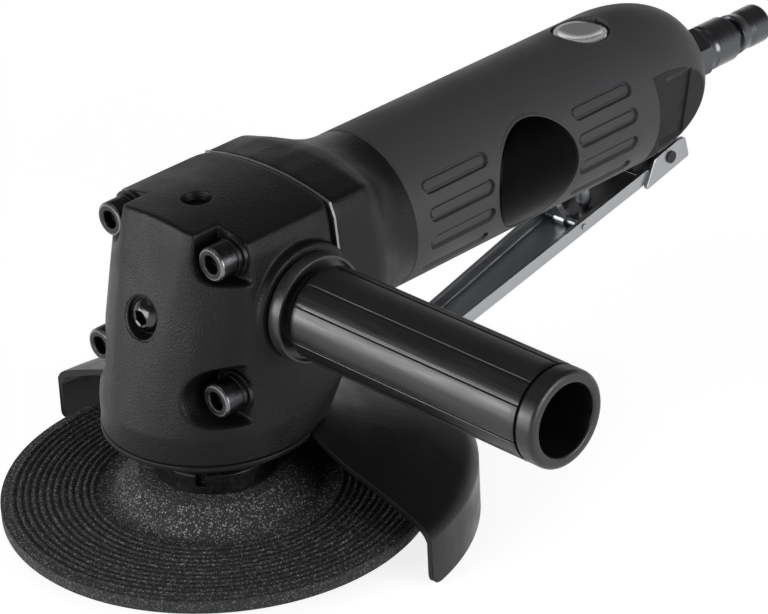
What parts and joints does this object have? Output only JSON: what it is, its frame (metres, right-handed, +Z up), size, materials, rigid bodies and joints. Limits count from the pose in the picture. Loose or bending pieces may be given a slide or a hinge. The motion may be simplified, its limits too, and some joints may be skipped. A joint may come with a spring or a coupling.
{
  "type": "air angle grinder",
  "caption": "Air angle grinder: vane motor in a round grip, bevel gear head, depressed centre grinding wheel under a guard, side handle and throttle lever with safety latch.",
  "frame": {"origin": "Centre of the spindle's flat end face, on the wheel's axis", "axes": "+X runs back along the motor to the air inlet, -Y is the side handle's side, +Z points up the spindle away from the work"},
  "size_m": [0.3014, 0.2018, 0.1016],
  "materials": {
    "cast_black": "fine pebbled black powder coat over cast aluminium",
    "guard_black": "satin black painted pressed sheet",
    "grip_rubber": "matte black composite with a fine moulded grain",
    "badge_gloss": "plain glossy black disc",
    "handle_plastic": "semi-gloss black moulded plastic",
    "collar_plastic": "smooth grey-black ring",
    "plated_steel": "bright zinc plated steel",
    "black_oxide": "black oxide steel with worn bright rims",
    "gasket_aluminium": "bare metal shim gasket",
    "ground_steel": "ground hardened steel",
    "bearing_steel": "polished bearing steel",
    "cast_iron_plate": "fine ground cast iron",
    "cylinder_steel": "honed steel",
    "vane_composite": "brown laminated composite",
    "seal_rubber": "black nitrile rubber",
    "abrasive_grit": "dark grey resin bonded abrasive, coarse grain",
    "spring_steel": "drawn spring wire",
    "turned_brass": "turned brass",
    "plug_steel": "nickel plated hardened steel"
  },
  "bodies": {
    "housing": {"gear_head": "cast_black", "grease_plug": "black_oxide", "front_button_screw": "black_oxide", "head_cap_screws": "black_oxide", "head_spring_washers": "black_oxide", "head_washers": "black_oxide", "head_gasket": "gasket_aluminium", "bearing_cap": "cast_black", "bearing_cap_screws": "black_oxide", "spindle_seal": "seal_rubber", "spindle_bearing_outer": "bearing_steel", "spindle_bearing_balls": "bearing_steel", "needle_bearing": "bearing_steel", "front_bearing_outer": "bearing_steel", "front_bearing_balls": "bearing_steel", "rear_bearing_outer": "bearing_steel", "rear_bearing_balls": "bearing_steel", "front_end_plate": "cast_iron_plate", "rear_end_plate": "cast_iron_plate", "motor_cylinder": "cylinder_steel", "cylinder_dowel": "bearing_steel", "motor_housing": "cast_black", "grip_sleeve": "grip_rubber", "side_badges": "badge_gloss", "valve_plug": "plated_steel", "plug_o_ring": "seal_rubber", "valve_spring": "spring_steel", "valve_seat": "turned_brass", "stem_bush": "turned_brass", "inlet_bushing": "plated_steel", "inlet_screen": "turned_brass", "air_plug": "plug_steel", "lever_pin": "black_oxide", "side_handle": "handle_plastic", "handle_collar": "collar_plastic", "handle_stud": "plated_steel"},
    "spindle_unit": {"spindle": "ground_steel", "gear_key": "ground_steel", "bevel_gear": "ground_steel", "gear_retaining_ring": "black_oxide", "spindle_bearing_inner": "bearing_steel", "inner_flange": "black_oxide", "grinding_wheel": "abrasive_grit", "wheel_bush": "plated_steel", "flange_nut": "black_oxide"},
    "rotor_unit": {"pinion": "ground_steel", "rotor": "ground_steel", "rotor_vanes": "vane_composite", "front_bearing_inner": "bearing_steel", "rear_bearing_inner": "bearing_steel"},
    "lever_unit": {"throttle_lever": "plated_steel", "latch_pin": "plated_steel", "latch_spring": "spring_steel"},
    "latch": {"safety_latch": "plated_steel"},
    "valve": {"throttle_valve": "plated_steel", "valve_seal": "seal_rubber"},
    "guard": {"guard": "guard_black"}
  },
  "joints": [
    {"name": "spindle_spin", "type": "hinge", "parent": "housing", "child": "spindle_unit", "pos_m": [0, 0, 0], "axis": [0, 0, 1], "continuous": true},
    {"name": "rotor_spin", "type": "hinge", "parent": "housing", "child": "rotor_unit", "pos_m": [0.05, 0, 0.068], "axis": [1, 0, 0], "continuous": true},
    {"name": "lever_press", "type": "hinge", "parent": "housing", "child": "lever_unit", "pos_m": [0.1843, 0, 0.0422], "axis": [0, 1, 0], "range_deg": [0, 9], "stiffness_Nm_per_rad": 1.2, "springref_deg": -8.02},
    {"name": "latch_fold", "type": "hinge", "parent": "lever_unit", "child": "latch", "pos_m": [0.14669, 0, 0.0318], "axis": [0, 1, 0], "range_deg": [-68.5, 0]},
    {"name": "valve_lift", "type": "slide", "parent": "housing", "child": "valve", "axis": [0, 0, 1], "range_m": [0, 0.0045], "deforming": ["valve_spring"]},
    {"name": "guard_swivel", "type": "hinge", "parent": "housing", "child": "guard", "pos_m": [0, 0, 0.0275], "axis": [0, 0, 1], "range_deg": [-60, 60]}
  ],
  "couplings": [
    {"joint": "rotor_spin", "follows": "spindle_spin", "ratio": 2.0769},
    {"joint": "latch_fold", "follows": "lever_press", "ratio": -7.55},
    {"joint": "valve_lift", "follows": "lever_press", "m_per_rad": 0.0283}
  ]
}
